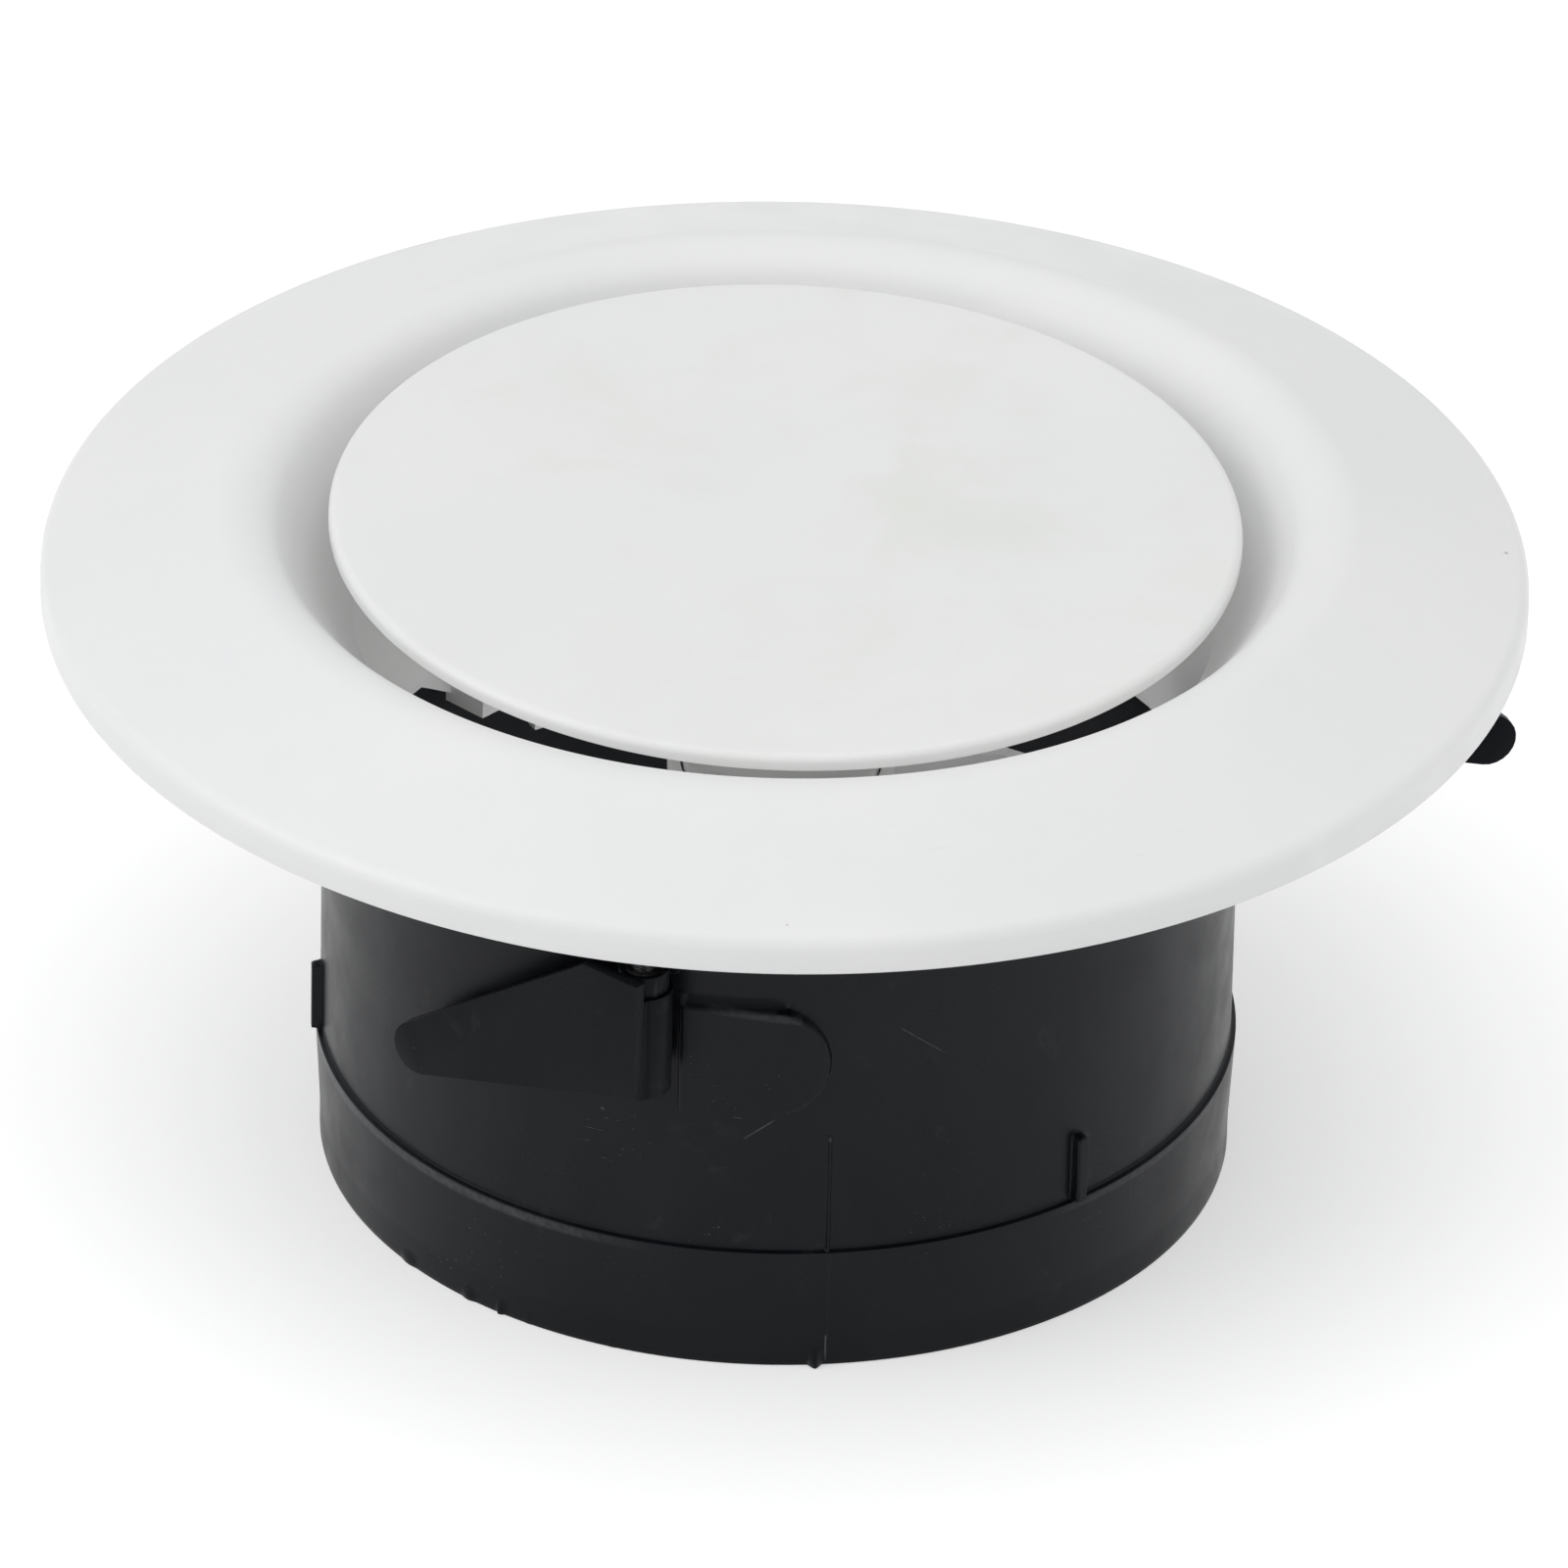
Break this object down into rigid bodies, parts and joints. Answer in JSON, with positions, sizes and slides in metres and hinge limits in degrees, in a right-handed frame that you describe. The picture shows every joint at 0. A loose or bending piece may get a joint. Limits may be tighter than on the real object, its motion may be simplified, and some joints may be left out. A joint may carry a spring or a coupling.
{
  "type": "ceiling air diffuser",
  "caption": "Round ceiling air diffuser: white cone flange, screw-adjusted centre disc, black duct collar and swing-out clamp arms.",
  "frame": {"origin": "on the axis, in the back plane of the flange that lies on the ceiling", "axes": "+Z out of the face into the room; +X to the right of the folded front clamp, -Y the front"},
  "size_m": [0.2389, 0.238, 0.1164],
  "materials": {
    "white_abs": "satin moulded white ABS",
    "black_abs": "semi-matte moulded black ABS",
    "zinc_steel": "bright zinc-plated steel",
    "spring_steel": "blackened steel",
    "brass": "turned brass",
    "acetal": "natural acetal",
    "foam": "closed-cell foam"
  },
  "bodies": {
    "frame": {"face_ring": "white_abs", "bridge": "white_abs", "bridge_nut": "brass", "bridge_screws": "zinc_steel", "collar": "black_abs", "flange_gasket": "foam"},
    "drag": {"drag_sleeve": "acetal"},
    "disc": {"face_disc": "white_abs", "disc_insert": "brass", "stem": "zinc_steel", "drag_clip": "zinc_steel", "end_washer": "zinc_steel", "end_clip": "spring_steel"},
    "screw_a": {"clamp_screw_a": "spring_steel", "screw_clip_a": "spring_steel"},
    "nut_a": {"arm_nut_a": "spring_steel", "guide_key_a": "black_abs"},
    "swing_a": {"arm_a": "black_abs"},
    "screw_b": {"clamp_screw_b": "spring_steel", "screw_clip_b": "spring_steel"},
    "nut_b": {"arm_nut_b": "spring_steel", "guide_key_b": "black_abs"},
    "swing_b": {"arm_b": "black_abs"},
    "screw_c": {"clamp_screw_c": "spring_steel", "screw_clip_c": "spring_steel"},
    "nut_c": {"arm_nut_c": "spring_steel", "guide_key_c": "black_abs"},
    "swing_c": {"arm_c": "black_abs"}
  },
  "joints": [
    {"name": "disc_travel", "type": "slide", "parent": "frame", "child": "drag", "axis": [0, 0, 1], "range_m": [-0.0083, 0.0161]},
    {"name": "disc_turn", "type": "hinge", "parent": "drag", "child": "disc", "pos_m": [0, 0, 0], "axis": [0, 0, 1], "range_deg": [-738, 1440]},
    {"name": "screw_a_turn", "type": "hinge", "parent": "frame", "child": "screw_a", "pos_m": [-0.02083, -0.07776, -0.0385], "axis": [0, 0, -1], "range_deg": [0, 7201]},
    {"name": "nut_a_travel", "type": "slide", "parent": "frame", "child": "nut_a", "axis": [0, 0, 1], "range_m": [0, 0.014]},
    {"name": "arm_a_swing", "type": "hinge", "parent": "nut_a", "child": "swing_a", "pos_m": [-0.02083, -0.07776, -0.0385], "axis": [0, 0, 1], "range_deg": [0, 120]},
    {"name": "screw_b_turn", "type": "hinge", "parent": "frame", "child": "screw_b", "pos_m": [0.07776, 0.02083, -0.0385], "axis": [0, 0, -1], "range_deg": [-2572, 4630]},
    {"name": "nut_b_travel", "type": "slide", "parent": "frame", "child": "nut_b", "axis": [0, 0, 1], "range_m": [-0.005, 0.009]},
    {"name": "arm_b_swing", "type": "hinge", "parent": "nut_b", "child": "swing_b", "pos_m": [0.07776, 0.02083, -0.0385], "axis": [0, 0, 1], "range_deg": [-120, 0]},
    {"name": "screw_c_turn", "type": "hinge", "parent": "frame", "child": "screw_c", "pos_m": [-0.05692, 0.05692, -0.0385], "axis": [0, 0, -1], "range_deg": [0, 7201]},
    {"name": "nut_c_travel", "type": "slide", "parent": "frame", "child": "nut_c", "axis": [0, 0, 1], "range_m": [0, 0.014]},
    {"name": "arm_c_swing", "type": "hinge", "parent": "nut_c", "child": "swing_c", "pos_m": [-0.05692, 0.05692, -0.0385], "axis": [0, 0, 1], "range_deg": [0, 120]}
  ],
  "couplings": [
    {"joint": "disc_travel", "follows": "disc_turn", "m_per_rad": 0.00063662},
    {"joint": "screw_a_turn", "follows": "nut_a_travel", "rad_per_m": 8976},
    {"joint": "screw_b_turn", "follows": "nut_b_travel", "rad_per_m": 8976},
    {"joint": "screw_c_turn", "follows": "nut_c_travel", "rad_per_m": 8976}
  ]
}
